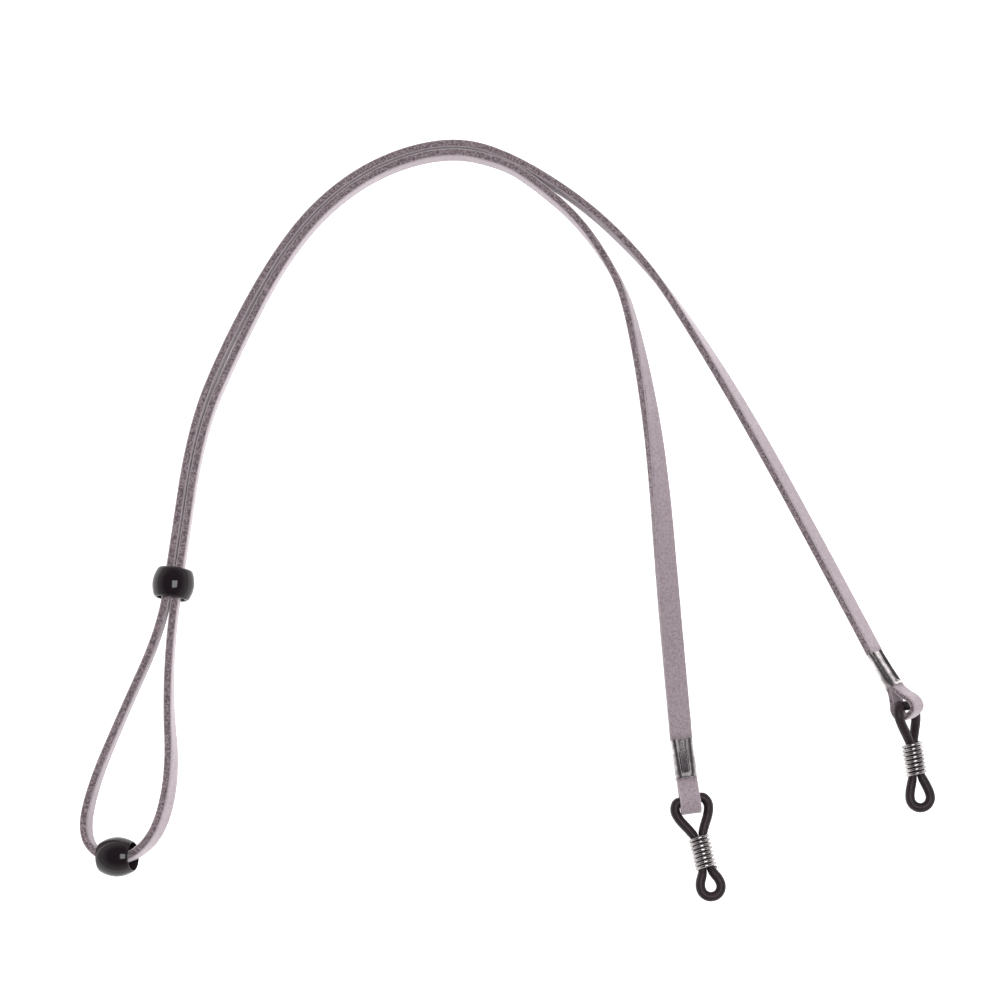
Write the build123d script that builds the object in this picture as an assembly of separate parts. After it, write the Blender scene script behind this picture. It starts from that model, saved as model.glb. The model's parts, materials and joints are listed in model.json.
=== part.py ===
from build123d import *
import os
from math import acos, atan2, ceil, cos, degrees, radians, sin, tan

# Eyeglass retainer strap: a flat suede lace with a slider bead, an end bead, two folded crimps and
# two rubber loops, each gripped by a coil.
#
# It lies as it is laid out on a table: the table is z = 0, +Y runs from the temple ends towards
# the nape arc, and the origin is the bottom centre of the beads, crimps and rubber ends.

# Lace, in millimetres
LACE_WIDTH = 4.4
LACE_THICK = 1.6
STRAND_GAP = 0.25  # between the two strands that lie side by side
PINCHED_WIDTH = 3.7  # of the lace where a crimp or a rubber loop squeezes it
PINCHED_THICK = 1.05

# Slider bead, which holds both strands
SLIDER_OD = 8.4
SLIDER_LENGTH = 6.0
BEAD_PLAY = 0.15  # between a bead's hole and the corners of the lace in it
SLIDER_AT = (-67.9, 29.4)
SLIDE_ANGLE = 7.5  # of the slider's axis, from +Y towards +X
SLIDER_RIM_D = 6.9

# End bead, which is threaded on the slip loop
END_BEAD_OD = 7.8
END_BEAD_LENGTH = 6.8
END_BEAD_AT = (-78.1, -24.6)
END_BEAD_RIM_D = 5.9
END_BEAD_TILT = 18.0  # its right end is raised
END_BEAD_REST = 4.05  # height of its centre when it lies tilted on the table

# Crimps, folded from sheet
CRIMP_LENGTH = 8.0
CRIMP_SHEET = 0.3
CRIMP_CORNER = 0.6
CRIMP_BULGE = 0.1  # how far each long side of a crimp stands out beyond its sheet
CHANNEL_R = 6.0  # of the shallow channel pressed along a crimp's face
CHANNEL_DEPTH = 0.14
CRIMP_SEAM = 0.25

# Rubber loops and their coils. Across and along are measured from the middle of a loop's top bar
RUBBER_D = 1.9
GRIPPED_D = 1.45  # of each rubber leg inside the coil
GRIPPED_PLAY = 0.07  # between the two legs inside the coil
GRIPPED_LEG = (GRIPPED_D + GRIPPED_PLAY) / 2  # from the coil's axis to the middle of each leg in it
FOLD_PLAY = 0.25  # between the rubber bar and the lace folded round it
FOLD_CLOSED = 0.01  # half of the gap left between the two layers of the fold at the crimp's mouth
FOLD_REACH = 4.3  # from a crimp's mouth to the middle of the rubber bar
LEG_PLAY = 0.04  # between the two legs where they leave the coil
EYE_LEG = (RUBBER_D + LEG_PLAY) / 2  # from the coil's axis to the middle of each leg there
BAR_PLAY = 0.05  # between the side of the folded lace and the rubber that turns beside it
BAR_END = (PINCHED_WIDTH + RUBBER_D) / 2 + BAR_PLAY  # from the bar's middle to its first corner
UPPER_EYE = ((BAR_END, 0.0), (BAR_END + 0.65, 2.2), (EYE_LEG, 6.5))  # across, along
UPPER_EYE_R = (1.25, 1.5, 1.6)
COIL_FROM = 7.1
COIL_WIRE = 0.66
COIL_PLAY = 0.04
COIL_TURNS = 8
COIL_PITCH = 0.8
COIL_END_GAP = 0.06  # between the coil's end turns and the thicker rubber next to them
LOWER_EYE = ((EYE_LEG, 0.4), (2.0, 2.2), (2.0, 3.85), (0.85, 5.0))  # across, along from the coil's end
LOWER_EYE_R = (1.2, 2.2, 1.8, 1.8)
EYE_STRETCH = 0.9  # how much longer the right loop's lower eye is, its coil being pushed further up

# The lace's route from the left crimp to the right one. Each point is x, y, lift and roll. Lift
# is the height above lying on the table. Roll 0 stands the lace on its edge; at +90 the face on
# its right-hand side, looking along the route, is up.
LEFT_TAIL = [
    (32.6, -1.2, 0.5, 90),
    (30.4, 25.0, 0.1, 79),
    (28.5, 51.7, 0.1, 50),
    (26.3, 68.7, 0.1, 33),
    (23.1, 84.7, 0.1, 17),
    (20.3, 92.6, 0.1, 9),
    (13.0, 103.8, 0.0, 0),
    (3.6, 112.0, 0.0, 0),
]
# The middle of the two strands that lie side by side, from where they part near the nape to the
# level stretch that the slider moves on. The last number is what is added to their gap.
PAIR_ARC = [
    (-2.5, 116.9, 0.0, 0.0),
    (-13.7, 119.4, 0.0, 0.0),
    (-27.5, 115.5, 0.0, 0.0),
    (-39.4, 106.9, 0.0, 0.0),
    (-48.6, 94.6, 0.0, 0.0),
    (-57.4, 76.8, 0.6, 0.5),
]
PAIR_LEVEL = (31.0, -9.0)  # ends of the level stretch, along the slider's axis from its centre
RUN_FROM = 24.0  # where the stretch that the slider runs on starts, measured the same way
# From the right-hand strand below the slider to the end bead, and back up to the left-hand one
LOOP_DOWN = [
    (-68.6, 6.5, 2.3, -3),
    (-67.3, -8.0, 3.0, -17),
    (-69.6, -19.6, 3.0, -18),
]
LOOP_UP = [
    (-85.0, -20.2, 0.4, 12),
    (-83.2, -10.5, 0.8, 5),
    (-77.6, 3.2, 1.6, 0),
]
BEAD_RUN = 3.3  # from the end bead's centre to the corners of the route on both sides of it
BEAD_SAG = 0.42  # the lace bows this far off the bead's axis there
RIGHT_TAIL = [
    (13.3, 108.0, 0.0, 0),
    (24.9, 96.6, 0.1, -3),
    (33.0, 85.6, 0.1, -17),
    (45.5, 64.9, 0.1, -35),
    (58.6, 40.2, 0.1, -36),
    (70.9, 15.9, 0.4, -38),
]
CORNER_SHARE = 0.45  # of the shorter run next to a corner that its bend takes up

# The two ends: where the crimp points, and how the rubber loop hangs from the folded lace
LEFT_TURN = 7.2  # heading of the crimp from -Y towards +X
LEFT_RISE = 4.6  # of the crimp, away from the table
LEFT_SWING = 4.8  # of the rubber loop about its bar; 0 is in line with the crimp
LEFT_CANT = 6.0  # of the rubber loop in its own plane
LEFT_TWIST = 0.0  # of the lower eye against the upper one
RIGHT_TURN = 28.7
RIGHT_RISE = 6.0
RIGHT_SWING = 23.0
RIGHT_CANT = -3.4
RIGHT_TWIST = 51.0

BEND_STEP = 10.0  # degrees of bend between sections of the lace
LEAST_STEP = 0.2  # a section is left out when it would be closer than this to a cut
SEARCH_STEPS = 400  # for the place on the lace nearest to a point
EYE_TOP = 1.0  # corners of the lower eye beyond this move when the eye is longer

Z = Vector(0, 0, 1)


def resting(roll):
    """Height of the lace's centre when it lies on the table, rolled this far."""
    lean = radians(roll)
    return LACE_WIDTH / 2 * abs(cos(lean)) + LACE_THICK / 2 * abs(sin(lean))


def on_table(points):
    return [(Vector(x, y, lift + resting(roll)), roll) for x, y, lift, roll in points]


def slide_axis():
    return Vector(sin(radians(SLIDE_ANGLE)), cos(radians(SLIDE_ANGLE)), 0)


def slider_centre():
    return Vector(*SLIDER_AT, SLIDER_OD / 2)


def bead_axis():
    return Vector(cos(radians(END_BEAD_TILT)), 0, sin(radians(END_BEAD_TILT)))


def bead_centre():
    return Vector(*END_BEAD_AT, END_BEAD_REST)


def strand(side):
    """Route points of one of the two strands, towards the slider; side -1 is the inner strand."""
    middle = [Vector(x, y, lift + resting(0)) for x, y, lift, _ in PAIR_ARC]
    extra = [more for *_, more in PAIR_ARC]
    for along in PAIR_LEVEL:
        middle.append(slider_centre() + slide_axis() * along)
        extra.append(0)
    points = []
    for i, point in enumerate(middle):
        before = middle[max(i, 1)] - middle[max(i, 1) - 1]
        after = middle[min(i + 1, len(middle) - 1)] - middle[min(i, len(middle) - 2)]
        across = (Z.cross(before).normalized() + Z.cross(after).normalized()).normalized()
        widen = 1 / across.dot(Z.cross(after).normalized())
        pitch = LACE_THICK + STRAND_GAP + extra[i]
        points.append((point - across * (side * pitch / 2 * widen), 0))
    return points


def route():
    """The whole lace: its corner points with their rolls, and how many belong to each stretch."""
    sag = Vector(0, -BEAD_SAG, 0)
    bead = [(bead_centre() + sag + bead_axis() * (BEAD_RUN * s), 0) for s in (1, -1)]
    loop = on_table(LOOP_DOWN) + bead + on_table(LOOP_UP)
    parts = [on_table(LEFT_TAIL), strand(-1), loop, strand(1)[::-1], on_table(RIGHT_TAIL)]
    return parts


def heading(turn, rise):
    level = Vector(sin(radians(turn)), -cos(radians(turn)), 0)
    return level * cos(radians(rise)) + Z * sin(radians(rise))


def turn_at(before, corner, after):
    return degrees(acos((corner - before).normalized().dot((after - corner).normalized())))


def bend_radii(points):
    radii = []
    for before, corner, after in zip(points, points[1:], points[2:]):
        run = min((corner - before).length, (after - corner).length)
        radii.append(CORNER_SHARE * run / tan(radians(turn_at(before, corner, after) / 2)))
    return radii


# Lace -----------------------------------------------------------------------------------------


class Lace:
    """The route as a path with tangent arcs, and the roll of the lace along it."""

    def __init__(self):
        parts = route()
        corners = [point for part in parts for point, _ in part]
        rolls = [roll for part in parts for _, roll in part]
        self.radii = bend_radii(corners)
        self.path = FilletPolyline(*corners, radius=self.radii)
        self.knots = []
        self.steps = [0.0]
        done = 0.0
        for i, edge in enumerate(Wire(self.path).order_edges()):
            if i % 2:
                self.knots.append((done + edge.length / 2, rolls[(i + 1) // 2]))
            count = self.sections_in(edge, corners, i)
            for k in range(count):
                self.steps.append(done + edge.length * (k + 1) / count)
            done += edge.length
        self.length = done
        self.knots = [(0.0, rolls[0])] + self.knots + [(done, rolls[-1])]
        self.ends = self.part_ends(parts, corners)

    def sections_in(self, edge, corners, i):
        if i % 2 == 0:
            return 2
        corner = (i + 1) // 2
        turn = turn_at(corners[corner - 1], corners[corner], corners[corner + 1])
        return max(2, ceil(turn / BEND_STEP))

    def part_ends(self, parts, corners):
        """How far along the path the middle of the run after each part's last corner lies."""
        lengths = [edge.length for edge in Wire(self.path).order_edges()]
        ends = []
        last = -1
        for part in parts[:-1]:
            last += len(part)
            ends.append(sum(lengths[: 2 * last]) + lengths[2 * last] / 2)
        return ends

    def roll(self, at):
        for (s0, r0), (s1, r1) in zip(self.knots, self.knots[1:]):
            if at <= s1:
                return r0 + (r1 - r0) * (at - s0) / (s1 - s0)
        return self.knots[-1][1]

    def section(self, at):
        """Plane across the lace, its x axis out of the face that is up at a roll of +90."""
        part = min(max(at / self.length, 0.0), 1.0)
        point = self.path @ part
        along = (self.path % part).normalized()
        if part == 0.0:
            along = -heading(LEFT_TURN, LEFT_RISE)
        if part == 1.0:
            along = heading(RIGHT_TURN, RIGHT_RISE)
        right = along.cross(Z).normalized()
        up = right.cross(along)
        lean = radians(self.roll(at))
        return Plane(point, x_dir=right * cos(lean) + up * sin(lean), z_dir=along)

    def stretch(self, start, end):
        """The lace between two places along the path."""
        inner = [at for at in self.steps if start + LEAST_STEP < at < end - LEAST_STEP]
        places = [start] + inner + [end]
        return loft([self.section(at) * Rectangle(LACE_THICK, LACE_WIDTH) for at in places], ruled=True)


def lace_nodes(lace):
    """Consecutive lengths of the one lace, which meet face to face."""
    tail, arc, loop, back = lace.ends
    level_in = place_on_path(lace, slider_centre() + slide_axis() * RUN_FROM)
    cuts = {
        "lace_left_tail": (0.0, tail),
        "lace_inner_arc": (tail, level_in[0]),
        "lace_inner_run": (level_in[0], arc),
        "lace_slip_loop": (arc, loop),
        "lace_outer_run": (loop, level_in[1]),
        "lace_outer_arc": (level_in[1], back),
        "lace_right_tail": (back, lace.length),
    }
    return {name: lace.stretch(*cut) for name, cut in cuts.items()}


def place_on_path(lace, point):
    """Where the two strands pass a point between them."""
    places = []
    for low, high in ((lace.ends[0], lace.ends[1]), (lace.ends[2], lace.ends[3])):
        tries = [low + (high - low) * k / SEARCH_STEPS for k in range(SEARCH_STEPS + 1)]
        places.append(min(tries, key=lambda at: (lace.path @ (at / lace.length) - point).length))
    return places


# Beads ----------------------------------------------------------------------------------------


def bead(outer, rim, length, bore):
    """A barrel bead about Z: its flank is one arc from rim to rim."""
    flank = ThreePointArc((rim / 2, -length / 2), (outer / 2, 0), (rim / 2, length / 2))
    outline = flank + Polyline(flank @ 1, (bore / 2, length / 2), (bore / 2, -length / 2), flank @ 0)
    return revolve(Plane.XZ * make_face(outline), Axis.Z)


def slider_bead():
    pair = 2 * LACE_THICK + STRAND_GAP
    bore = (LACE_WIDTH**2 + pair**2) ** 0.5 + 2 * BEAD_PLAY
    spot = Plane(slider_centre(), x_dir=Z, z_dir=slide_axis())
    return spot * bead(SLIDER_OD, SLIDER_RIM_D, SLIDER_LENGTH, bore)


def end_bead():
    bowed = LACE_THICK + 2 * BEAD_SAG + BEAD_PLAY
    bore = (LACE_WIDTH**2 + bowed**2) ** 0.5 + 2 * BEAD_PLAY
    spot = Plane(bead_centre(), x_dir=(0, 1, 0), z_dir=bead_axis())
    return spot * bead(END_BEAD_OD, END_BEAD_RIM_D, END_BEAD_LENGTH, bore)


# The two ends. In an end's own frame x runs along the rubber bar and z away from the lace ------


def crimp_plane(start, turn, rise, roll):
    """Plane at the strap end of a crimp; its x axis runs across the width of the lace."""
    along = heading(turn, rise)
    right = along.cross(Z).normalized()
    up = right.cross(along)
    lean = radians(roll)
    return Plane(start, x_dir=right * cos(lean) + up * sin(lean), z_dir=along)


def bar_plane(crimp, swing, cant):
    """Plane through the middle of the rubber bar; its z axis runs along the rubber loop."""
    spot = crimp * Pos(0, 0, CRIMP_LENGTH + FOLD_REACH)
    return spot * Rot(swing, 0, 0) * Rot(0, cant, 0)


def round_about_bar(radius, half):
    """A round about the bar, with flanks to a line of this half height at the crimp's mouth."""
    start = (-FOLD_REACH, half)
    reach = (FOLD_REACH**2 + half**2) ** 0.5
    lean = degrees(acos(radius / reach))
    base = degrees(acos(FOLD_REACH / reach))
    touch = radians(180 - base - lean)
    top = (radius * cos(touch), radius * sin(touch))
    flanks = Polygon(start, top, (top[0], -top[1]), (start[0], -half), align=None)
    return Circle(radius) + flanks


def lace_fold(crimp):
    """The lace's end: pressed into a wedge in the crimp, and wrapped round the rubber bar."""
    wedge = loft(
        [
            crimp * Rectangle(PINCHED_WIDTH, PINCHED_THICK),
            crimp * Pos(0, 0, CRIMP_LENGTH) * Rectangle(PINCHED_WIDTH, 2 * PINCHED_THICK),
        ],
        ruled=True,
    )
    inner = RUBBER_D / 2 + FOLD_PLAY
    wrap = round_about_bar(inner + PINCHED_THICK, PINCHED_THICK) - round_about_bar(inner, FOLD_CLOSED)
    wrap = extrude(wrap, PINCHED_WIDTH / 2, both=True)
    # The wrap's profile is drawn with x along the lace; turn that to z and its depth to x
    spot = crimp * Pos(0, 0, CRIMP_LENGTH + FOLD_REACH)
    turned = Plane(origin=(0, 0, 0), x_dir=(0, 0, 1), z_dir=(1, 0, 0))
    return wedge + spot * (turned * wrap)


def crimp(plane):
    """A flattened sheet ferrule: open seam below, a shallow pressed channel on its face."""
    wide = PINCHED_WIDTH + 2 * (CRIMP_SHEET + CRIMP_BULGE)
    low = PINCHED_THICK + 2 * CRIMP_SHEET
    high = 2 * PINCHED_THICK + 2 * CRIMP_SHEET
    outside = loft(
        [
            RectangleRounded(wide, low, CRIMP_CORNER),
            Pos(0, 0, CRIMP_LENGTH) * RectangleRounded(wide, high, CRIMP_CORNER),
        ]
    )
    inside = loft(
        [
            Rectangle(PINCHED_WIDTH, PINCHED_THICK),
            Pos(0, 0, CRIMP_LENGTH) * Rectangle(PINCHED_WIDTH, 2 * PINCHED_THICK),
        ]
    )
    seam = Pos(0, -high / 2, CRIMP_LENGTH / 2) * Box(CRIMP_SEAM, high, 2 * CRIMP_LENGTH)
    slope = degrees(atan2((high - low) / 2, CRIMP_LENGTH))
    axis = Pos(0, low / 2 + CHANNEL_R - CHANNEL_DEPTH, 0) * Rot(-slope, 0, 0)
    channel = axis * Cylinder(CHANNEL_R, 3 * CRIMP_LENGTH)
    return plane * (outside - inside - seam - channel)


def eye_tube(corners, radii, start, twist):
    """A rubber eye: from one leg out round the eye and back to the other, about the z axis."""
    right = [(across, 0, along + start) for across, along in corners]
    left = [(-across, 0, along) for across, _, along in right]
    points = right + left[::-1]
    path = FilletPolyline(*points, radius=radii + radii[::-1])
    tube = sweep(Plane(path @ 0, z_dir=path % 0) * Circle(RUBBER_D / 2), path)
    return Rot(0, 0, twist) * tube


def coil_span():
    return COIL_TURNS * COIL_PITCH + COIL_WIRE + 2 * COIL_END_GAP


def rubber_loop(bar, twist, stretch):
    """The rubber ring: upper eye with the bar, two gripped legs in the coil, lower eye."""
    end = COIL_FROM + coil_span()
    upper = ((EYE_LEG, COIL_FROM),) + UPPER_EYE[::-1]
    grown = tuple((across, along + stretch * (along > EYE_TOP)) for across, along in LOWER_EYE)
    lower = ((EYE_LEG, 0.0),) + grown
    legs = Sketch() + [Pos(x, 0) * Circle(GRIPPED_D / 2) for x in (GRIPPED_LEG, -GRIPPED_LEG)]
    grip = Pos(0, 0, COIL_FROM) * twisted(legs, coil_span(), twist)
    ring = eye_tube(upper, list(UPPER_EYE_R[::-1]), 0.0, 0.0)
    ring += grip
    ring += eye_tube(lower, list(LOWER_EYE_R), end, twist)
    return bar * ring


def twisted(legs, length, twist):
    """Both legs drawn out along z while they turn about each other."""
    if not twist:
        return extrude(legs, length)
    sides = []
    for face in legs.faces():
        wire = face.outer_wire()
        sides.append(Solid.extrude_linear_with_rotation(Face(wire), (0, 0, 0), (0, 0, length), twist))
    return Part() + sides


def coil(bar):
    radius = GRIPPED_LEG + GRIPPED_D / 2 + COIL_PLAY + COIL_WIRE / 2
    path = Helix(COIL_PITCH, COIL_TURNS * COIL_PITCH, radius)
    wire = sweep(Plane(path @ 0, z_dir=path % 0) * Circle(COIL_WIRE / 2), path, is_frenet=True)
    return bar * Pos(0, 0, COIL_FROM + COIL_END_GAP + COIL_WIRE / 2) * wire


def main():
    lace = Lace()
    nodes = lace_nodes(lace)
    left = crimp_plane(lace.path @ 0, LEFT_TURN, LEFT_RISE, LEFT_TAIL[0][3] + 90)
    right = crimp_plane(lace.path @ 1, RIGHT_TURN, RIGHT_RISE, RIGHT_TAIL[-1][3] + 270)
    left_bar = bar_plane(left, LEFT_SWING, LEFT_CANT)
    right_bar = bar_plane(right, RIGHT_SWING, RIGHT_CANT)
    nodes["lace_left_fold"] = lace_fold(left)
    nodes["lace_right_fold"] = lace_fold(right)
    nodes["slider_bead"] = slider_bead()
    nodes["end_bead"] = end_bead()
    nodes["left_crimp"] = crimp(left)
    nodes["right_crimp"] = crimp(right)
    nodes["left_rubber_loop"] = rubber_loop(left_bar, LEFT_TWIST, 0.0)
    nodes["right_rubber_loop"] = rubber_loop(right_bar, RIGHT_TWIST, EYE_STRETCH)
    nodes["left_coil_spring"] = coil(left_bar)
    nodes["right_coil_spring"] = coil(right_bar)
    print("bend radii, mm:", [round(r, 1) for r in lace.radii])
    print("lace route, mm:", round(lace.length, 1))
    volume = sum(nodes[name].volume for name in nodes if "lace" in name and "fold" not in name)
    print("volume / (section x length):", round(volume / (LACE_WIDTH * LACE_THICK * lace.length), 4))
    for plane, name in ((left_bar, "left bar"), (right_bar, "right bar")):
        frame = Plane(plane)
        print(name, frame.origin, "bar", frame.x_dir, "along", frame.z_dir)
    os.makedirs("parts", exist_ok=True)
    for name, solid in nodes.items():
        box = solid.bounding_box()
        print(name, len(solid.solids()), round(solid.volume, 2), box.min, box.max)
        export_step(solid, f"parts/{name}.step")


if __name__ == "__main__":
    main()
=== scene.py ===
import json
from math import cos, pi, radians, sin

import bmesh
import bpy
from mathutils import Matrix, Vector, noise


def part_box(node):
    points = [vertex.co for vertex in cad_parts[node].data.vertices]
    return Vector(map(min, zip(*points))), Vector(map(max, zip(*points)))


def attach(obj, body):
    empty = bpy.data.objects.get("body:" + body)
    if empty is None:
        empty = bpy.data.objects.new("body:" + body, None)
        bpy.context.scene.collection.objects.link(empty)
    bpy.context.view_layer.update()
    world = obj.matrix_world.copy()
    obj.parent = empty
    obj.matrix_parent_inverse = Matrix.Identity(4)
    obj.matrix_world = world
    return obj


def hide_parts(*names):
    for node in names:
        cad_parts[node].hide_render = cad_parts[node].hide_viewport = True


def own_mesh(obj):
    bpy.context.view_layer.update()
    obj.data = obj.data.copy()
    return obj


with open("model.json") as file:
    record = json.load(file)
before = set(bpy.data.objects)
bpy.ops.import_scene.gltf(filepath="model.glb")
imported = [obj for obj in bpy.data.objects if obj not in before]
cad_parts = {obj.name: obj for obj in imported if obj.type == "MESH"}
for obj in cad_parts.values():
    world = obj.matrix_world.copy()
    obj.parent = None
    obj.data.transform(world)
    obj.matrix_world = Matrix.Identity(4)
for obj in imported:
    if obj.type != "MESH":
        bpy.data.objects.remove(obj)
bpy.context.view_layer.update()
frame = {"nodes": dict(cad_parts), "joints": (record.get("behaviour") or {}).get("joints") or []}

bl_info = {
    "name": "Glasses strap",
    "version": (1, 0, 0),
    "blender": (4, 5, 0),
    "location": "View3D > Sidebar > Strap",
    "description": "Builds a suede glasses strap with its beads, crimps, rubber loops and coils",
    "category": "Add Mesh",
}

UP = Vector((0, 0, 1))
JOINTS = {joint["name"]: joint for joint in frame["joints"]}

# The lace's route, in metres: x, y, lift above lying on the table, and roll in degrees. Roll 0
# stands the lace on its edge; at +90 the face on its right-hand side, looking along, is up.
LEFT_TAIL = [
    (0.0326, -0.0012, 0.0005, 90),
    (0.0304, 0.0250, 0.0001, 79),
    (0.0285, 0.0517, 0.0001, 50),
    (0.0263, 0.0687, 0.0001, 33),
    (0.0231, 0.0847, 0.0001, 17),
    (0.0203, 0.0926, 0.0001, 9),
    (0.0130, 0.1038, 0.0000, 0),
    (0.0036, 0.1120, 0.0000, 0),
]
# The middle of the two strands that lie side by side; the last number is added to their gap
PAIR_ARC = [
    (-0.0025, 0.1169, 0.0000, 0.0000),
    (-0.0137, 0.1194, 0.0000, 0.0000),
    (-0.0275, 0.1155, 0.0000, 0.0000),
    (-0.0394, 0.1069, 0.0000, 0.0000),
    (-0.0486, 0.0946, 0.0000, 0.0000),
    (-0.0574, 0.0768, 0.0006, 0.0005),
]
PAIR_LEVEL = (0.0310, 0.0050, -0.0090)  # places along the slider's axis from its centre
LOOP_DOWN = [
    (-0.0686, 0.0065, 0.0023, -3),
    (-0.0673, -0.0080, 0.0030, -17),
    (-0.0696, -0.0196, 0.0030, -18),
]
LOOP_UP = [
    (-0.0850, -0.0202, 0.0004, 12),
    (-0.0832, -0.0105, 0.0008, 5),
    (-0.0776, 0.0032, 0.0016, 0),
]
RIGHT_TAIL = [
    (0.0133, 0.1080, 0.0000, 0),
    (0.0249, 0.0966, 0.0001, -3),
    (0.0330, 0.0856, 0.0001, -17),
    (0.0455, 0.0649, 0.0001, -35),
    (0.0586, 0.0402, 0.0001, -36),
    (0.0709, 0.0159, 0.0004, -38),
]
STRAND_GAP = 0.00025
BEAD_RUN = 0.0033  # from the end bead's centre to the route's points on both sides of it
BEAD_SAG = 0.00042  # how far the lace bows off the bead's axis
END_BEAD_TILT = 18.0
ROUTE_STEPS = 36  # steps between two points of the lace's route
LACE_FUZZ = 0.00004
FUZZ_COARSE = 1300.0
FUZZ_FINE = 3100.0
SUEDE_CORNER = 0.0003  # how far the lace's corners are worn round
BEADS = {  # rim diameter, length and bore
    "slider": (0.0068, 0.0060, 0.0059),
    "end": (0.0058, 0.0068, 0.0053),
}
RIM_SOFTNESS = 0.00035  # width of the rounding at a bead's rims
RIM_STEP = 0.00004
FLANK_STEPS = 22
SPIN_STEPS = 96

# The two ends: heading from -Y towards +X, rise and turn about the crimp's length, in degrees;
# twist of the lower eye, how much longer it is, and how far out the folded lace bulges
CRIMPS = {
    "left": {
        "turn": 7.2, "rise": 4.6, "roll": 180.0, "twist": 0.0, "stretch": 0.0, "fold": 0.0018,
    },
    "right": {
        "turn": 28.7, "rise": 6.0, "roll": 232.0, "twist": 51.0, "stretch": 0.0009, "fold": 0.0024,
    },
}
FOLD_REACH = 0.0043  # from a crimp's mouth to the middle of the rubber bar
FOLD_WIDTH = 0.0040
FOLD_THICK = 0.0011
FOLD_FUZZ = 0.00003
FOLD_STEPS = 12
SHEET = 0.0003  # thickness of a crimp's wall
SEAM_HALF = 0.0002
CRIMP_CORNER = 0.0010
CRIMP_RIM = 0.00008
CORNER_STEPS = 4
CHANNEL_STEPS = 16
CRIMP_STATIONS = [  # share of the length, width, thickness, depth of the channel in its front
    (0.0, 0.00450, 0.00196, 0.00040),
    (0.02, 0.00448, 0.00197, 0.00040),
    (0.10, 0.00444, 0.00200, 0.00041),
    (0.35, 0.00442, 0.00214, 0.00046),
    (0.62, 0.00444, 0.00238, 0.00048),
    (0.85, 0.00448, 0.00264, 0.00048),
    (0.89, 0.00450, 0.00272, 0.00036),
    (0.93, 0.00454, 0.00284, 0.00010),
    (0.97, 0.00462, 0.00300, 0.00000),
    (1.0, 0.00470, 0.00312, 0.00000),
]
COIL_FROM = 0.00716  # from the rubber bar to the coil's first turn
COIL_PITCH = 0.0008
COIL_TURNS = 8
COIL_SPAN = 0.00718
COIL_INNER_R = 0.001525
TURN_STEPS = 16
EYE_LEG = 0.00097  # from the coil's axis to the middle of each leg where it leaves the coil
GRIP_LEG = 0.00076  # the same inside the coil
GRIP_SHARE = 0.8  # of the rubber's diameter that is left inside the coil
EYE_R = 0.002
BAR_TURN = [(0.0036, 0.0022), (0.0029, -0.0002), (0.0014, 0.0)]  # across and along, to the bar

TABLE_DROP = 0.00005  # keeps the table's top just clear of the pieces that lie on it
AIM = Vector((-0.0032, 0.0470, 0.0))
CAMERA_DISTANCE = 0.75
CAMERA_RISE = 80.0
SOFTBOX = Vector((0.16, -0.06, 0.95))
SOFTBOX_SIZE = 0.48
SOFTBOX_POWER = 5.8
FILL_SIZE = 0.8
FILLS = {  # place and power
    "left_fill": ((-1.3, 0.2, 0.35), 7.0),
    "right_fill": ((1.3, 0.3, 0.35), 7.0),
    "far_fill": ((0.0, 1.5, 0.35), 5.0),
}


class StrapSizes(bpy.types.PropertyGroup):
    """The sizes of the strap's pieces."""

    lace_width: bpy.props.FloatProperty(
        name="Lace width", description="Width of the lace's suede face", default=0.0044,
        subtype="DISTANCE", unit="LENGTH",
    )
    lace_thick: bpy.props.FloatProperty(
        name="Lace thickness", description="Height of the lace's cut edge", default=0.0016,
        subtype="DISTANCE", unit="LENGTH",
    )
    slider_od: bpy.props.FloatProperty(
        name="Slider bead", description="Outer diameter of the slider bead", default=0.0084,
        subtype="DISTANCE", unit="LENGTH",
    )
    end_bead_od: bpy.props.FloatProperty(
        name="End bead", description="Outer diameter of the end bead", default=0.0078,
        subtype="DISTANCE", unit="LENGTH",
    )
    rubber_d: bpy.props.FloatProperty(
        name="Rubber", description="Diameter of the rubber loops' cord", default=0.0019,
        subtype="DISTANCE", unit="LENGTH",
    )
    coil_wire: bpy.props.FloatProperty(
        name="Coil wire", description="Diameter of the coils' wire", default=0.00066,
        subtype="DISTANCE", unit="LENGTH",
    )
    crimp_length: bpy.props.FloatProperty(
        name="Crimp length", description="Length of a crimp along the lace", default=0.008,
        subtype="DISTANCE", unit="LENGTH",
    )


class StrapColours(bpy.types.PropertyGroup):
    """The colours of the strap's finishes."""

    face: bpy.props.FloatVectorProperty(
        name="Suede face", description="Colour of the lace's napped face", subtype="COLOR",
        size=4, min=0, max=1, default=(0.36, 0.295, 0.325, 1),
    )
    edge: bpy.props.FloatVectorProperty(
        name="Cut edge", description="Colour of the lace's cut edge", subtype="COLOR",
        size=4, min=0, max=1, default=(0.30, 0.24, 0.26, 1),
    )
    bead: bpy.props.FloatVectorProperty(
        name="Bead", description="Colour of the two beads", subtype="COLOR",
        size=4, min=0, max=1, default=(0.012, 0.008, 0.010, 1),
    )
    rubber: bpy.props.FloatVectorProperty(
        name="Rubber", description="Colour of the rubber loops", subtype="COLOR",
        size=4, min=0, max=1, default=(0.021, 0.013, 0.016, 1),
    )
    steel: bpy.props.FloatVectorProperty(
        name="Steel", description="Colour of the crimps and coils", subtype="COLOR",
        size=4, min=0, max=1, default=(0.64, 0.60, 0.60, 1),
    )


# Shader building -------------------------------------------------------------------------------


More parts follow.
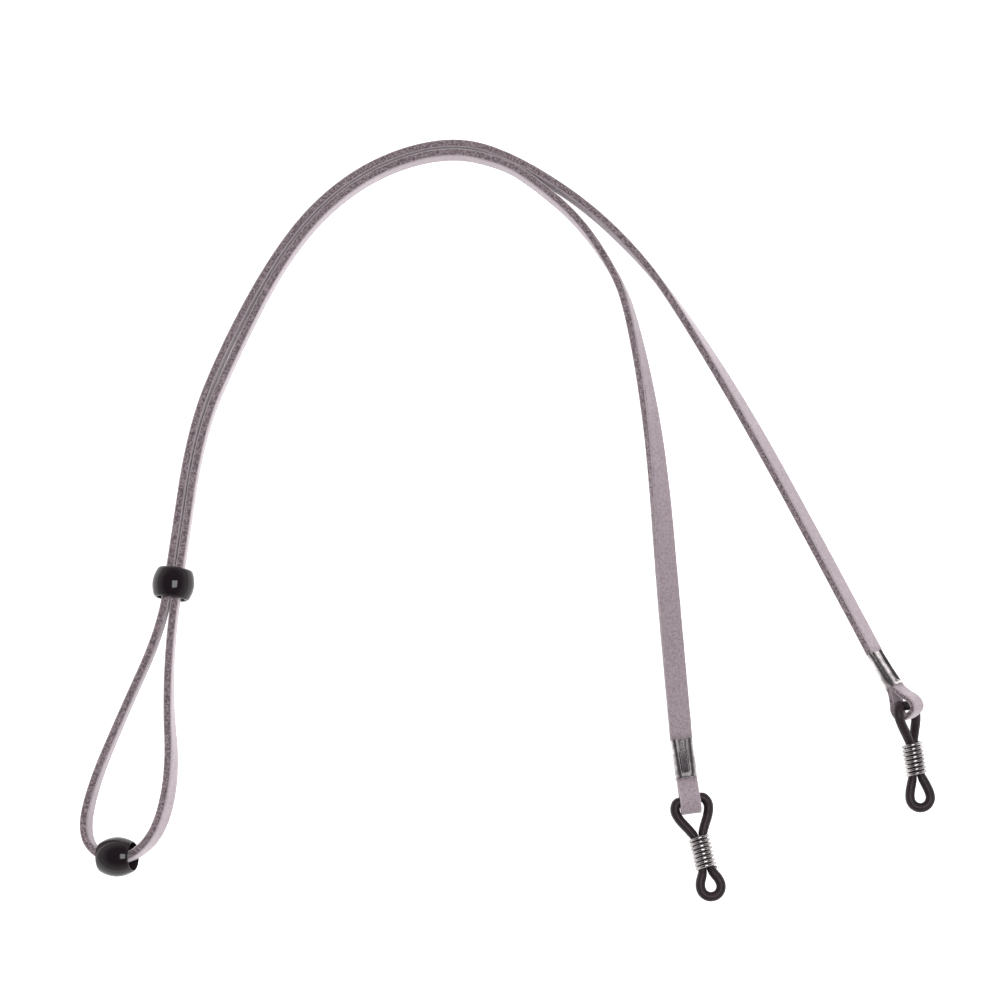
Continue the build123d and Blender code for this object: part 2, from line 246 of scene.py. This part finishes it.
class Wire:
    """A shader socket that can be used in sums."""

    def __init__(self, bench, socket):
        self.bench = bench
        self.socket = socket

    def sum_with(self, operation, other, flipped=False):
        pair = (other, self) if flipped else (self, other)
        return self.bench.add("Math", {"operation": operation}, {0: pair[0], 1: pair[1]})

    def __add__(self, other):
        return self.sum_with("ADD", other)

    def __radd__(self, other):
        return self.sum_with("ADD", other, True)

    def __sub__(self, other):
        return self.sum_with("SUBTRACT", other)

    def __rsub__(self, other):
        return self.sum_with("SUBTRACT", other, True)

    def __mul__(self, other):
        return self.sum_with("MULTIPLY", other)

    def __rmul__(self, other):
        return self.sum_with("MULTIPLY", other, True)


class Bench:
    """The node tree of a material or a world, with one way to add any node."""

    def __init__(self, owner):
        self.owner = owner
        owner.use_nodes = True
        self.tree = owner.node_tree
        self.tree.nodes.clear()

    def add(self, kind, settings=None, inputs=None, output=0):
        node = self.tree.nodes.new("ShaderNode" + kind)
        for key, value in (settings or {}).items():
            if key == "stops":
                self.set_stops(node.color_ramp, value)
            else:
                setattr(node, key, value)
        for key, value in (inputs or {}).items():
            if isinstance(value, Wire):
                self.tree.links.new(value.socket, node.inputs[key])
            else:
                node.inputs[key].default_value = value
        return Wire(self, node.outputs[output]) if len(node.outputs) else None

    def set_stops(self, ramp, stops):
        while len(ramp.elements) > 1:
            ramp.elements.remove(ramp.elements[-1])
        for i, (place, shade) in enumerate(stops):
            stop = ramp.elements[0] if i == 0 else ramp.elements.new(place)
            stop.position = place
            stop.color = (*shade, 1) if isinstance(shade, tuple) else (shade, shade, shade, 1)

    def ramp(self, value, stops):
        return self.add("ValToRGB", {"stops": stops}, {0: value})

    def noise(self, where, scale, detail=2.0, roughness=0.5):
        inputs = {"Vector": where, "Scale": scale, "Detail": detail, "Roughness": roughness}
        return self.add("TexNoise", {}, inputs)

    def blend(self, share, first, second, how="MIX"):
        settings = {"data_type": "RGBA", "blend_type": how}
        return self.add("Mix", settings, {0: share, 6: first, 7: second}, 2)

    def bump(self, height, strength, distance):
        inputs = {"Height": height, "Strength": strength, "Distance": distance}
        return self.add("Bump", {}, inputs)

    def surface(self, inputs):
        shader = self.add("BsdfPrincipled", {}, inputs)
        self.add("OutputMaterial", {}, {"Surface": shader})
        return self.owner


def bench_for(name):
    return Bench(bpy.data.materials.new(name))


def colours():
    return bpy.context.scene.strap_colours


def sizes():
    return bpy.context.scene.strap_sizes


def suede():
    """Napped face and darker, crumbly cut edge; the lace's own attribute says which is which."""
    bench = bench_for("suede")
    place = bench.add("TexCoord", {}, {}, "Object")
    cut = bench.add("Attribute", {"attribute_name": "cut_edge"}, {}, "Fac")
    nap = bench.noise(place, 2000.0, 3.0, 0.75)
    crumbs = bench.noise(place, 2300.0, 2.0, 0.8)
    patches = bench.noise(place, 90.0, 3.0, 0.6)
    face_tone = bench.ramp(nap, [(0.36, 0.66), (0.5, 0.9), (0.62, 1.0)])
    edge_tone = bench.ramp(crumbs, [(0.40, 0.3), (0.5, 0.6), (0.60, 1.0)])
    patch_tone = bench.ramp(patches, [(0.3, 0.93), (0.7, 1.0)])
    face = bench.blend(1.0, tuple(colours().face), face_tone, "MULTIPLY")
    edge = bench.blend(1.0, tuple(colours().edge), edge_tone, "MULTIPLY")
    ragged = cut + (crumbs - 0.5) * 0.7
    worn = bench.blend(bench.ramp(ragged, [(0.55, 0.0), (0.75, 1.0)]), face, edge)
    pale = bench.ramp(ragged, [(0.35, 0.0), (0.55, 0.45), (0.75, 0.0)])
    both = bench.blend(pale, worn, (0.62, 0.57, 0.59, 1))
    both = bench.blend(1.0, both, patch_tone, "MULTIPLY")
    height = nap * 0.5 + crumbs * (cut * 0.9 + 0.25)
    return bench.surface({
        "Base Color": both,
        "Roughness": 0.95,
        "Specular IOR Level": 0.1,
        "Sheen Weight": 0.6,
        "Sheen Roughness": 0.5,
        "Sheen Tint": (0.95, 0.92, 0.94, 1),
        "Normal": bench.bump(height, 0.6, 0.00015),
    })


def glossy_plastic():
    bench = bench_for("bead_plastic")
    place = bench.add("TexCoord", {}, {}, "Object")
    ripple = bench.noise(place, 260.0, 2.0)
    smears = bench.ramp(bench.noise(place, 500.0, 4.0, 0.6), [(0.35, 0.045), (0.8, 0.12)])
    return bench.surface({
        "Base Color": tuple(colours().bead),
        "Roughness": smears,
        "Specular IOR Level": 0.3,
        "Normal": bench.bump(ripple, 0.06, 0.0004),
    })


def satin_rubber():
    bench = bench_for("loop_rubber")
    place = bench.add("TexCoord", {}, {}, "Object")
    grain = bench.noise(place, 2200.0, 3.0, 0.6)
    blush = bench.ramp(bench.noise(place, 350.0, 3.0), [(0.3, 0.75), (0.7, 1.25)])
    colour = bench.blend(1.0, tuple(colours().rubber), blush, "MULTIPLY")
    return bench.surface({
        "Base Color": colour,
        "Roughness": bench.ramp(grain, [(0.3, 0.36), (0.7, 0.52)]),
        "Specular IOR Level": 0.22,
        "Normal": bench.bump(grain, 0.15, 0.0001),
    })


def polished_steel(name, shade, grime):
    """Nickel-bright steel with a cloudy, slightly darker bloom."""
    bench = bench_for(name)
    place = bench.add("TexCoord", {}, {}, "Object")
    clouds = bench.noise(place, 420.0, 4.0, 0.65)
    pits = bench.noise(place, 2600.0, 3.0, 0.7)
    tone = bench.ramp(clouds, [(0.4, shade * (1 - grime)), (0.6, shade)])
    colour = bench.blend(1.0, tuple(colours().steel), tone, "MULTIPLY")
    return bench.surface({
        "Base Color": colour,
        "Metallic": 1.0,
        "Roughness": bench.ramp(clouds, [(0.3, 0.24), (0.7, 0.10)]),
        "Normal": bench.bump(clouds * 0.8 + pits * 0.3, 0.09, 0.0001),
    })


def white_table():
    bench = bench_for("white_table")
    return bench.surface({
        "Base Color": (0.9, 0.9, 0.9, 1),
        "Roughness": 0.9,
        "Emission Color": (1, 1, 1, 1),
        "Emission Strength": 0.8,
    })


# Mesh helpers ----------------------------------------------------------------------------------


def finish_mesh(bm, name, material, normals=True):
    if normals:
        bmesh.ops.recalc_face_normals(bm, faces=bm.faces)
    mesh = bpy.data.meshes.new(name)
    bm.to_mesh(mesh)
    bm.free()
    for face in mesh.polygons:
        face.use_smooth = True
    mesh.materials.append(material)
    piece = bpy.data.objects.new(name, mesh)
    bpy.context.collection.objects.link(piece)
    return piece


def curve_mesh(name, points, resolution, diameter=0.0, radii=None):
    """Mesh of the smooth line that has these control points, round where it has a diameter."""
    curve = bpy.data.curves.new(name, "CURVE")
    curve.dimensions = "3D"
    curve.resolution_u = resolution
    curve.bevel_depth = diameter / 2
    curve.bevel_resolution = 5
    curve.use_fill_caps = True
    spline = curve.splines.new("NURBS")
    spline.points.add(len(points) - 1)
    for i, (point, place) in enumerate(zip(spline.points, points)):
        point.co = (*place, 1)
        point.radius = radii[i] if radii else 1.0
    spline.order_u = 3
    spline.use_endpoint_u = True
    holder = bpy.data.objects.new(name, curve)
    bpy.context.collection.objects.link(holder)
    bpy.context.view_layer.update()
    mesh = bpy.data.meshes.new_from_object(holder)
    bpy.data.objects.remove(holder)
    return mesh


def spline_points(points, resolution):
    """Points along the smooth line that has these control points."""
    mesh = curve_mesh("route", points, resolution)
    found = [vertex.co.copy() for vertex in mesh.vertices]
    bpy.data.meshes.remove(mesh)
    return found


def band_section(width, thick):
    """Corner-rounded section of the lace: across, out of the face, and 1 on the cut edges."""
    ring = []
    soft = min(SUEDE_CORNER, thick * 0.3)
    sides = ((width, thick, 8, 0.0), (thick, width, 4, 1.0))
    for turn in range(4):
        long, short, parts, cut = sides[turn % 2]
        half = long / 2 - soft
        for k in range(parts + 1):
            worn = 0.9 * cut if k in (0, parts) else cut
            ring.append(side_place(turn, half - 2 * half * k / parts, short / 2, worn))
        corner = side_place(turn, -half - soft * 0.62, short / 2 - soft * 0.25, 0.5)
        ring.append(corner)
    return ring


def side_place(turn, along, out, cut):
    """A place on one of a section's four sides, turned a quarter for each side."""
    place = Matrix.Rotation(turn * pi / 2, 2) @ Vector((along, out))
    return (place.x, place.y, cut)


def band(name, line, acrosses, width, thick, material, rough=0.0):
    """A flat strip along a line, with its width along the given directions."""
    ring = band_section(width, thick)
    bm = bmesh.new()
    cut_layer = bm.verts.layers.float.new("cut_edge")
    rows = []
    for i, (place, across) in enumerate(zip(line, acrosses)):
        along = (line[min(i + 1, len(line) - 1)] - line[max(i - 1, 0)]).normalized()
        out = along.cross(across).normalized()
        row = []
        for a, b, cut in ring:
            shift = across * a + out * b
            spot = place + shift
            if rough:
                fuzz = noise.noise(spot * FUZZ_COARSE) + 0.6 * noise.noise(spot * FUZZ_FINE)
                spot += shift.normalized() * (fuzz * rough * (0.4 + 0.6 * cut))
            vertex = bm.verts.new(spot)
            vertex[cut_layer] = cut
            row.append(vertex)
        rows.append(row)
    for low, high in zip(rows, rows[1:]):
        for k in range(len(ring)):
            bm.faces.new((low[k - 1], low[k], high[k], high[k - 1]))
    bm.faces.new(rows[0])
    bm.faces.new(rows[-1][::-1])
    return finish_mesh(bm, name, material)


def tube(name, points, diameter, material, radii=None, resolution=10):
    """A round tube along the smooth line that has these control points."""
    mesh = curve_mesh(name, points, resolution, diameter, radii)
    bm = bmesh.new()
    bm.from_mesh(mesh)
    bpy.data.meshes.remove(mesh)
    bmesh.ops.remove_doubles(bm, verts=bm.verts, dist=1e-7)
    return finish_mesh(bm, name + "_piece", material)


# The lace's route ------------------------------------------------------------------------------


def resting(roll):
    """Height of the lace's centre when it lies on the table, rolled this far."""
    lean = radians(roll)
    return sizes().lace_width / 2 * abs(cos(lean)) + sizes().lace_thick / 2 * abs(sin(lean))


def on_table(points):
    return [(Vector((x, y, lift + resting(roll))), roll) for x, y, lift, roll in points]


def slider_axis():
    return Vector(JOINTS["slider_slide"]["axis"]).normalized()


def centre_of(node):
    low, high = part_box(node)
    return (Vector(low) + Vector(high)) / 2


def bead_axis():
    return Vector((cos(radians(END_BEAD_TILT)), 0, sin(radians(END_BEAD_TILT))))


def strand(side):
    """Route points of one of the two strands, towards the slider; side -1 is the inner strand."""
    middle = [Vector((x, y, lift + resting(0))) for x, y, lift, _ in PAIR_ARC]
    extra = [more for *_, more in PAIR_ARC]
    for along in PAIR_LEVEL:
        middle.append(centre_of("slider_bead") + slider_axis() * along)
        extra.append(0)
    points = []
    for i, point in enumerate(middle):
        before = middle[max(i, 1)] - middle[max(i, 1) - 1]
        after = middle[min(i + 1, len(middle) - 1)] - middle[min(i, len(middle) - 2)]
        across = (UP.cross(before).normalized() + UP.cross(after).normalized()).normalized()
        widen = 1 / across.dot(UP.cross(after).normalized())
        pitch = sizes().lace_thick + STRAND_GAP + extra[i]
        points.append((point - across * (side * pitch / 2 * widen), 0))
    return points


def route():
    """The lace's control points from the left crimp to the right one, each with its roll."""
    centre = centre_of("end_bead") - Vector((0, BEAD_SAG, 0))
    bead = [(centre + bead_axis() * (BEAD_RUN * side), 0) for side in (1, -1)]
    loop = on_table(LOOP_DOWN) + bead + on_table(LOOP_UP)
    return on_table(LEFT_TAIL) + strand(-1) + loop + strand(1)[::-1] + on_table(RIGHT_TAIL)


def lace_line():
    """Points along the lace and the direction of its width at each."""
    control = route()
    line = spline_points([place for place, _ in control], ROUTE_STEPS)
    turns = [Vector((i, roll, 0)) for i, (_, roll) in enumerate(control)]
    rolls = spline_points(turns, ROUTE_STEPS)
    acrosses = []
    for i in range(len(line)):
        along = (line[min(i + 1, len(line) - 1)] - line[max(i - 1, 0)]).normalized()
        right = along.cross(UP).normalized()
        up = right.cross(along)
        lean = radians(rolls[i].y)
        acrosses.append(up * cos(lean) - right * sin(lean))
    return line, acrosses


# The two ends ----------------------------------------------------------------------------------


def crimp_frame(side):
    """Matrix whose z runs along a crimp from its strap end and x across the lace."""
    facts = CRIMPS[side]
    tail = LEFT_TAIL[0] if side == "left" else RIGHT_TAIL[-1]
    turn, rise, lean = radians(facts["turn"]), radians(facts["rise"]), radians(facts["roll"])
    along = Vector((sin(turn) * cos(rise), -cos(turn) * cos(rise), sin(rise)))
    right = along.cross(UP).normalized()
    up = right.cross(along)
    across = right * cos(lean) + up * sin(lean)
    return frame_matrix(on_table([tail])[0][0], across, along)


def frame_matrix(origin, across, along):
    out = along.cross(across)
    turn = Matrix((across, out, along)).transposed().to_4x4()
    return Matrix.Translation(origin) @ turn


def bar_frame(side):
    """Matrix at the middle of a rubber bar: x along the bar, z along the rubber loop."""
    swing = JOINTS[side + "_loop_swing"]
    slide = JOINTS[side + "_coil_slide"]
    across = Vector(swing["axis"]).normalized()
    return frame_matrix(Vector(swing["pos_m"]), across, Vector(slide["axis"]).normalized())


def lower_frame(side):
    """The bar's matrix, turned by the lower eye's twist."""
    return bar_frame(side) @ Matrix.Rotation(radians(CRIMPS[side]["twist"]), 4, "Z")


def fold_line(peak):
    """The lace's end round the rubber bar, in the crimp's frame: out of the mouth and back in."""
    mouth = sizes().crimp_length
    bar = mouth + FOLD_REACH
    top = [(mouth - 0.0005, 0.00035), (mouth + 0.0008, 0.0006), (bar - 0.0016, 0.6 * peak)]
    tip = [(bar - 0.0002, peak), (bar + 0.0021, 0.88 * peak)]
    upper = [Vector((0, out, along)) for along, out in top + tip]
    lower = [Vector((0, -place.y, place.z)) for place in upper[::-1]]
    return spline_points(upper + lower, FOLD_STEPS)


def build_fold(side, material):
    frame_at = crimp_frame(side)
    line = [frame_at @ place for place in fold_line(CRIMPS[side]["fold"])]
    across = (frame_at.to_3x3() @ Vector((1, 0, 0))).normalized()
    acrosses = [across] * len(line)
    name = f"{side}_folded_end"
    return band(name, line, acrosses, FOLD_WIDTH, FOLD_THICK, material, FOLD_FUZZ)


def crimp_ring(wide, thick, dent):
    """Outline of a crimp's section from one lip of its seam round to the other."""
    corner = min(CRIMP_CORNER, thick * 0.48)
    half, high = wide / 2 - corner, thick / 2 - corner
    ring = [Vector((-SEAM_HALF, -thick / 2)), Vector((-half, -thick / 2))]
    corners = ((-half, -high, 270), (-half, high, 180), (half, high, 90), (half, -high, 0))
    for cx, cy, start in corners:
        for k in range(CORNER_STEPS + 1):
            angle = radians(start - 90 * k / CORNER_STEPS)
            ring.append(Vector((cx + corner * cos(angle), cy + corner * sin(angle))))
        if (cx, cy) == (-half, high):
            for k in range(1, CHANNEL_STEPS):
                part = k / CHANNEL_STEPS
                bow = min(1.0, 1.6 * sin(pi * part))
                ring.append(Vector((-half + 2 * half * part, thick / 2 - dent * bow)))
    ring += [Vector((half, -thick / 2)), Vector((SEAM_HALF, -thick / 2))]
    return ring


def build_crimp(side, material):
    """Sheet rolled round the lace: channelled front, flared mouth, seam behind."""
    length = sizes().crimp_length
    bm = bmesh.new()
    edges = None
    place = crimp_frame(side)
    for share, wide, thick, dent in CRIMP_STATIONS:
        ring = crimp_ring(wide - SHEET, thick - SHEET, dent)
        spots = [place @ Vector((p.x, p.y, share * length)) for p in ring]
        if edges is None:
            row = [bm.verts.new(spot) for spot in spots]
            edges = [bm.edges.new(pair) for pair in zip(row, row[1:])]
            continue
        grown = bmesh.ops.extrude_edge_only(bm, edges=edges)["geom"]
        fresh = [g for g in grown if isinstance(g, bmesh.types.BMVert)]
        edges = [g for g in grown if isinstance(g, bmesh.types.BMEdge)]
        for vertex, spot in zip(fresh, spots):
            vertex.co = spot
    bmesh.ops.recalc_face_normals(bm, faces=bm.faces)
    piece = finish_mesh(bm, f"{side}_crimp_sleeve", material)
    wall = piece.modifiers.new("sheet", "SOLIDIFY")
    wall.thickness = SHEET
    wall.offset = 0
    rim = piece.modifiers.new("rim", "BEVEL")
    rim.width = CRIMP_RIM
    rim.segments = 2
    smooth = piece.modifiers.new("smooth", "SUBSURF")
    smooth.levels = 1
    smooth.render_levels = 1
    return piece


def bead_outline(outer, rim, length, bore):
    """A barrel bead's section beside its axis, as (radius, height): flank, rims and bore."""
    soft = RIM_SOFTNESS
    profile = []
    for k in range(FLANK_STEPS + 1):
        along = (k / FLANK_STEPS - 0.5) * (length - 2 * soft * 0.55)
        flank = outer / 2 - (outer - rim) / 2 * (2 * along / length) ** 2
        profile.append((flank, along))
    end = length / 2
    profile += [(rim / 2 - RIM_STEP, end - soft * 0.30), (rim / 2 - soft * 0.5, end)]
    profile += [(bore / 2 + soft * 0.5, end), (bore / 2, end - soft * 0.6), (bore / 2, 0)]
    lower = [(r, -z) for r, z in profile[FLANK_STEPS + 1:]]
    return profile + lower[:-1][::-1]


def build_bead(body, node, axis, outer, material):
    """A barrel bead: its outline is spun about the bore."""
    rim, length, bore = BEADS[body]
    bm = bmesh.new()
    row = [bm.verts.new((r, 0, z)) for r, z in bead_outline(outer, rim, length, bore)]
    edges = [bm.edges.new((row[i - 1], row[i])) for i in range(len(row))]
    bmesh.ops.spin(
        bm, geom=row + edges, axis=(0, 0, 1), cent=(0, 0, 0), steps=SPIN_STEPS, angle=2 * pi,
        use_merge=True,
    )
    bmesh.ops.remove_doubles(bm, verts=bm.verts, dist=1e-7)
    turn = axis.to_track_quat("Z", "Y").to_matrix().to_4x4()
    bmesh.ops.transform(bm, matrix=Matrix.Translation(centre_of(node)) @ turn, verts=bm.verts)
    return finish_mesh(bm, f"{body}_barrel", material)


def mirrored(points):
    return points + [Vector((-p.x, p.y, p.z)) for p in points[::-1]]


def half_tube(leg, eye):
    """Control points and thickness of one eye: up one leg, round the eye and down the other."""
    points = mirrored([Vector((across, 0, along)) for across, along in leg + eye])
    slim = [GRIP_SHARE] * len(leg) + [1.0] * len(eye)
    return points, slim + slim[::-1]


def build_loop(side, material):
    """The rubber ring in two halves, which meet out of sight inside the coil."""
    bar = bar_frame(side)
    middle = COIL_FROM + COIL_SPAN / 2
    leg = [(GRIP_LEG, middle), (GRIP_LEG, COIL_FROM + 0.0006)]
    eye = [(EYE_LEG, COIL_FROM - 0.0006)] + BAR_TURN
    points, radii = half_tube(leg, eye)
    place = [bar @ point for point in points]
    top = tube(f"{side}_upper_eye", place, sizes().rubber_d, material, radii)
    turn = lower_frame(side)
    end = COIL_FROM + COIL_SPAN
    centre = end + 0.003 + CRIMPS[side]["stretch"]
    leg = [(GRIP_LEG, middle - 0.0002), (GRIP_LEG, end - 0.0006)]
    eye = [(EYE_LEG + 0.0001, end + 0.0004)]
    eye += [(EYE_R, centre - 0.0009), (EYE_R, centre + 0.00083), (0.00083, centre + EYE_R)]
    points, radii = half_tube(leg, eye)
    place = [turn @ point for point in points]
    bottom = tube(f"{side}_lower_eye", place, sizes().rubber_d, material, radii)
    return top, bottom


def build_coil(side, material):
    bar = bar_frame(side)
    wire = sizes().coil_wire
    radius = COIL_INNER_R + wire / 2
    start = COIL_FROM + wire / 2
    points = []
    for k in range(COIL_TURNS * TURN_STEPS + 1):
        turns = k / TURN_STEPS
        angle = 2 * pi * turns
        spot = Vector((radius * cos(angle), radius * sin(angle), start + COIL_PITCH * turns))
        points.append(bar @ spot)
    return tube(f"{side}_coil", points, wire, material, resolution=3)


# Operators -------------------------------------------------------------------------------------


class STRAP_OT_lace(bpy.types.Operator):
    """Build the suede lace from crimp to crimp, with its two folded ends"""

    bl_idname = "strap.lace"
    bl_label = "Lace"

    def execute(self, context):
        material = suede()
        line, acrosses = lace_line()
        wide, thick = sizes().lace_width, sizes().lace_thick
        lace = band("lace", line, acrosses, wide, thick, material, LACE_FUZZ)
        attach(lace, "strap")
        nodes = [name for name in frame["nodes"] if name.startswith("lace_")]
        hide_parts(*[name for name in nodes if "fold" not in name])
        for side in ("left", "right"):
            fold = build_fold(side, material)
            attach(fold, "strap")
            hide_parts(f"lace_{side}_fold")
        length = sum((b - a).length for a, b in zip(line, line[1:]))
        return {"FINISHED"}


class STRAP_OT_beads(bpy.types.Operator):
    """Build the slider bead and the end bead"""

    bl_idname = "strap.beads"
    bl_label = "Beads"

    def execute(self, context):
        material = glossy_plastic()
        beads = (
            ("slider", "slider_bead", slider_axis(), sizes().slider_od),
            ("end", "end_bead", bead_axis(), sizes().end_bead_od),
        )
        for body, node, axis, outer in beads:
            piece = build_bead(body, node, axis, outer, material)
            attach(piece, body)
            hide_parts(node)
        return {"FINISHED"}


class STRAP_OT_crimps(bpy.types.Operator):
    """Build the two steel crimps"""

    bl_idname = "strap.crimps"
    bl_label = "Crimps"

    def execute(self, context):
        material = polished_steel("crimp_steel", 0.9, 0.5)
        for side in ("left", "right"):
            piece = build_crimp(side, material)
            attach(piece, "strap")
            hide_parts(f"{side}_crimp")
        return {"FINISHED"}


class STRAP_OT_loops(bpy.types.Operator):
    """Build the two rubber loops"""

    bl_idname = "strap.loops"
    bl_label = "Rubber loops"

    def execute(self, context):
        material = satin_rubber()
        for side in ("left", "right"):
            turn = lower_frame(side)
            flat = tuple(turn.to_3x3() @ Vector((1, 0, 0)))
            top, bottom = build_loop(side, material)
            for piece in (top, bottom):
                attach(piece, f"{side}_loop")
                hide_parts(f"{side}_rubber_loop")
            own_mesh(bottom)
        return {"FINISHED"}


class STRAP_OT_coils(bpy.types.Operator):
    """Wind the two steel coils that grip the rubber loops"""

    bl_idname = "strap.coils"
    bl_label = "Coils"

    def execute(self, context):
        material = polished_steel("coil_steel", 0.7, 0.45)
        for side in ("left", "right"):
            piece = build_coil(side, material)
            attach(piece, f"{side}_coil")
            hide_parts(f"{side}_coil_spring")
        return {"FINISHED"}


class STRAP_OT_stage(bpy.types.Operator):
    """Lay the pale table, and set the camera and the lights"""

    bl_idname = "strap.stage"
    bl_label = "Stage"

    def execute(self, context):
        build_table()
        build_camera(context)
        build_lights()
        build_surround(context)
        context.scene.view_settings.view_transform = "Standard"
        return {"FINISHED"}


def build_table():
    bm = bmesh.new()
    drop = Matrix.Translation((0, 0, -TABLE_DROP))
    bmesh.ops.create_grid(bm, x_segments=1, y_segments=1, size=2.0, matrix=drop)
    finish_mesh(bm, "table", white_table(), normals=False)


def build_camera(context):
    data = bpy.data.cameras.new("camera")
    data.lens = 135
    data.sensor_width = 36
    data.clip_start = 0.01
    camera = bpy.data.objects.new("camera", data)
    bpy.context.collection.objects.link(camera)
    rise = radians(CAMERA_RISE)
    camera.location = AIM + Vector((0, -cos(rise), sin(rise))) * CAMERA_DISTANCE
    camera.rotation_euler = (radians(90) - rise, 0, 0)
    context.scene.camera = camera


def area_light(name, place, size, power, aim=AIM):
    data = bpy.data.lights.new(name, "AREA")
    data.shape = "SQUARE"
    data.size = size
    data.energy = power
    lamp = bpy.data.objects.new(name, data)
    bpy.context.collection.objects.link(lamp)
    lamp.location = place
    lamp.visible_glossy = name == "softbox"
    lamp.rotation_euler = (Vector(place) - aim).to_track_quat("Z", "Y").to_euler()


def build_lights():
    below = Vector((SOFTBOX.x, SOFTBOX.y, 0))
    area_light("softbox", SOFTBOX, SOFTBOX_SIZE, SOFTBOX_POWER, below)
    for name, (place, power) in FILLS.items():
        area_light(name, place, FILL_SIZE, power)


def build_surround(context):
    """A world that is white all round and darker overhead."""
    bench = Bench(bpy.data.worlds.new("surround"))
    place = bench.add("TexCoord", {}, {}, "Generated")
    height = bench.add("SeparateXYZ", {}, {0: place}, "Z")
    sky = bench.ramp(height, [(0.25, (1.0, 0.98, 0.99)), (0.7, (0.12, 0.115, 0.13))])
    glow = bench.add("Background", {}, {"Color": sky, "Strength": 0.9})
    bench.add("OutputWorld", {}, {"Surface": glow})
    context.scene.world = bench.owner


class STRAP_PT_panel(bpy.types.Panel):
    bl_idname = "STRAP_PT_panel"
    bl_label = "Glasses strap"
    bl_space_type = "VIEW_3D"
    bl_region_type = "UI"
    bl_category = "Strap"

    def draw(self, context):
        layout = self.layout
        for operator in OPERATORS:
            layout.operator(operator.bl_idname)
        for group in (context.scene.strap_sizes, context.scene.strap_colours):
            for name in group.bl_rna.properties.keys():
                if name not in ("rna_type", "name"):
                    layout.prop(group, name)


OPERATORS = (
    STRAP_OT_stage,
    STRAP_OT_lace,
    STRAP_OT_beads,
    STRAP_OT_crimps,
    STRAP_OT_loops,
    STRAP_OT_coils,
)
CLASSES = (StrapSizes, StrapColours) + OPERATORS + (STRAP_PT_panel,)


def register():
    for kind in CLASSES:
        bpy.utils.register_class(kind)
    bpy.types.Scene.strap_sizes = bpy.props.PointerProperty(type=StrapSizes)
    bpy.types.Scene.strap_colours = bpy.props.PointerProperty(type=StrapColours)


def unregister():
    del bpy.types.Scene.strap_colours
    del bpy.types.Scene.strap_sizes
    for kind in reversed(CLASSES):
        bpy.utils.unregister_class(kind)


def main():
    register()
    bpy.ops.strap.stage()
    bpy.ops.strap.lace()
    bpy.ops.strap.beads()
    bpy.ops.strap.crimps()
    bpy.ops.strap.loops()
    bpy.ops.strap.coils()


if __name__ == "__main__":
    main()
